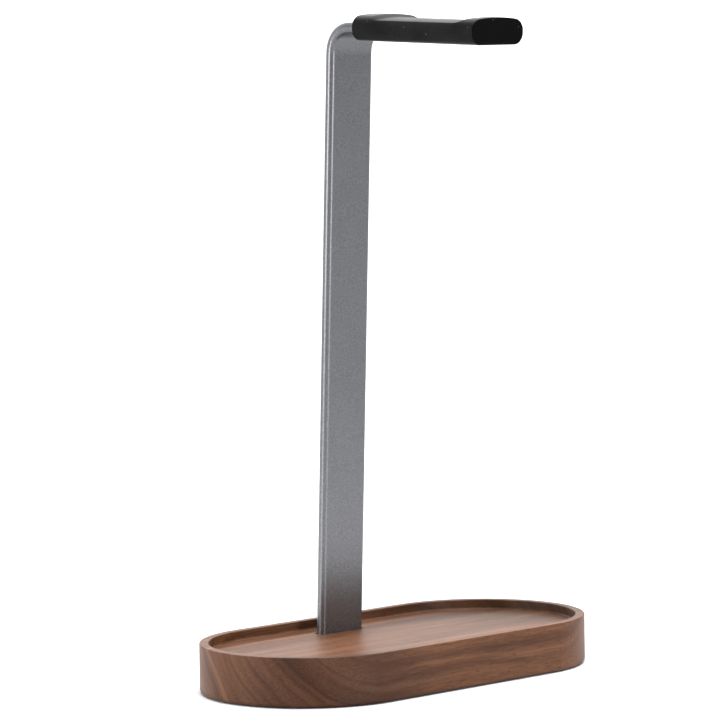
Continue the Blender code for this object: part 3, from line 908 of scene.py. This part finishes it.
def make_world():
    """A pale surround, brighter behind the object than on the camera's side."""
    world = bpy.data.worlds.new("studio")
    bpy.context.scene.world = world
    world.use_nodes = True
    tree = world.node_tree
    background = tree.nodes["Background"]
    coordinates = tree.nodes.new("ShaderNodeTexCoord")
    along = tree.nodes.new("ShaderNodeVectorMath")
    along.operation = "DOT_PRODUCT"
    along.inputs[1].default_value = WORLD_BACK_DIRECTION
    strength = tree.nodes.new("ShaderNodeMapRange")
    strength.inputs["From Min"].default_value = WORLD_FADE_START
    strength.inputs["From Max"].default_value = WORLD_FADE_END
    strength.inputs["To Min"].default_value = WORLD_FRONT
    strength.inputs["To Max"].default_value = WORLD_BACK
    tree.links.new(coordinates.outputs["Generated"], along.inputs[0])
    tree.links.new(along.outputs["Value"], strength.inputs["Value"])
    tree.links.new(strength.outputs["Result"], background.inputs["Strength"])
    background.inputs["Color"].default_value = (1.0, 1.0, 1.0, 1.0)


def towards(azimuth, elevation):
    """The direction from the object to a light. Azimuth 0 is in front, -90 is on the left."""
    side = math.radians(azimuth)
    rise = math.radians(elevation)
    return Vector((math.sin(side) * math.cos(rise), -math.cos(side) * math.cos(rise), math.sin(rise)))


def hang(light, place, away):
    """Puts a light in the scene at a place, facing back along a direction."""
    holder = bpy.data.objects.new(light.name, light)
    bpy.context.scene.collection.objects.link(holder)
    holder.location = place
    holder.rotation_euler = away.to_track_quat("Z", "Y").to_euler()


def softbox(name, azimuth, width, power):
    """An upright area light that faces the object."""
    light = bpy.data.lights.new(name, "AREA")
    light.shape = "RECTANGLE"
    light.size = width
    light.size_y = SOFTBOX_HEIGHT
    light.energy = power
    away = towards(azimuth, SOFTBOX_ELEVATION)
    hang(light, centre_of(*CAD_BOX) + away * SOFTBOX_DISTANCE, away)


def overhead_diffuser():
    """A very wide, even light from above: a sun whose disc is as broad as a diffuser."""
    light = bpy.data.lights.new("overhead_diffuser", "SUN")
    light.energy = OVERHEAD_STRENGTH
    light.angle = OVERHEAD_SPREAD
    hang(light, Vector(), towards(OVERHEAD_AZIMUTH, OVERHEAD_ELEVATION))


def make_lights():
    """Two softboxes draw the bright lines on the bar's edge; the diffuser lights the rest."""
    softbox("left_softbox", azimuth=-108.0, width=0.50, power=12.0)
    softbox("right_softbox", azimuth=3.0, width=0.28, power=9.0)
    overhead_diffuser()


def make_camera():
    """The photograph's view: from the front left, level with the bar's top, looking slightly down."""
    data = bpy.data.cameras.new("camera")
    data.lens = CAMERA_LENS
    data.sensor_width = CAMERA_SENSOR
    data.clip_end = CAMERA_CLIP
    camera = bpy.data.objects.new("camera", data)
    camera.location = CAMERA_PLACE
    camera.rotation_euler = [math.radians(angle) for angle in CAMERA_TURN]
    bpy.context.scene.collection.objects.link(camera)
    bpy.context.scene.camera = camera


def build_pieces():
    """The four pieces that stand for CAD nodes, each in its own material."""
    arm_tilt = saddle_tilt()
    arm_angle = math.pi / 2 + arm_tilt - POST_LEAN
    post_turn = Matrix.Rotation(POST_LEAN, 4, "X")
    arm_turn = Matrix.Rotation(arm_tilt, 4, "X")
    low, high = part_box("post_arm")
    bar_width = high.x - low.x
    bar, post_place = make_bar(post_turn, arm_angle)
    attach(bar, "post_arm", anodised_aluminium())
    attach(make_tray(post_place, bar_width), "tray_base", walnut())
    attach(make_sleeve(arm_turn, bar_width), "arm_sleeve", black_silicone())
    attach(make_pad(), "anti_slip_pad", grey_rubber())


def finish_cad_nodes():
    """The plate and the screws keep their CAD shapes and get their metals."""
    zinc = zinc_plated_steel()
    oxide = black_oxide_steel()
    for name, node in frame["nodes"].items():
        if node.hide_render:
            continue
        node.data.materials.clear()
        node.data.materials.append(oxide if name.startswith("post_screw") else zinc)


make_camera()
bpy.context.scene.view_settings.view_transform = "Standard"
build_pieces()
finish_cad_nodes()
make_floor()
make_world()
make_lights()
